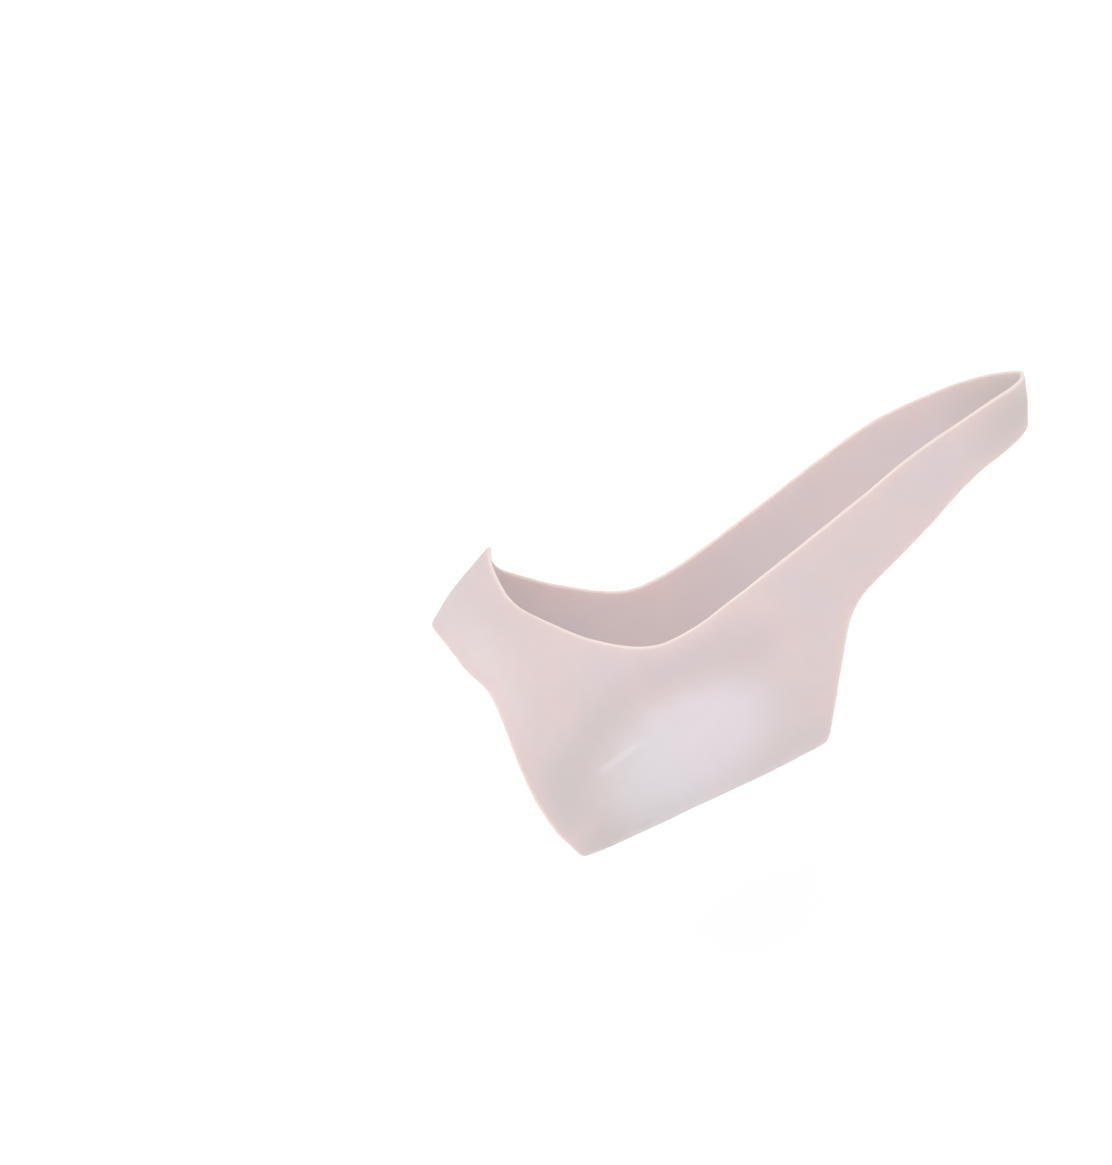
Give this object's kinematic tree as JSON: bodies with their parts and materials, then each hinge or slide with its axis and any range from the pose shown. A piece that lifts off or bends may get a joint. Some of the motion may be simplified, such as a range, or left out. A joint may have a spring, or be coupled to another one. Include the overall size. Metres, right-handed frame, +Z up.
{
  "type": "arch support sleeve with heel strap",
  "caption": "Moulded silicone foot sleeve: a band round the midfoot with a thick arch pad, and a narrow strap that loops round the back of the heel. For a right foot.",
  "frame": {"origin": "on the inside of the sole, under the middle of the arch, where the foot bears", "axes": "+X to the heel, -Y to the inner (arch) side of the foot, +Z up from the sole"},
  "size_m": [0.134, 0.0707, 0.0654],
  "materials": {
    "silicone": "soft satin, slightly translucent milky silicone"
  },
  "bodies": {
    "root": {"arch_sleeve": "silicone"}
  },
  "joints": []
}
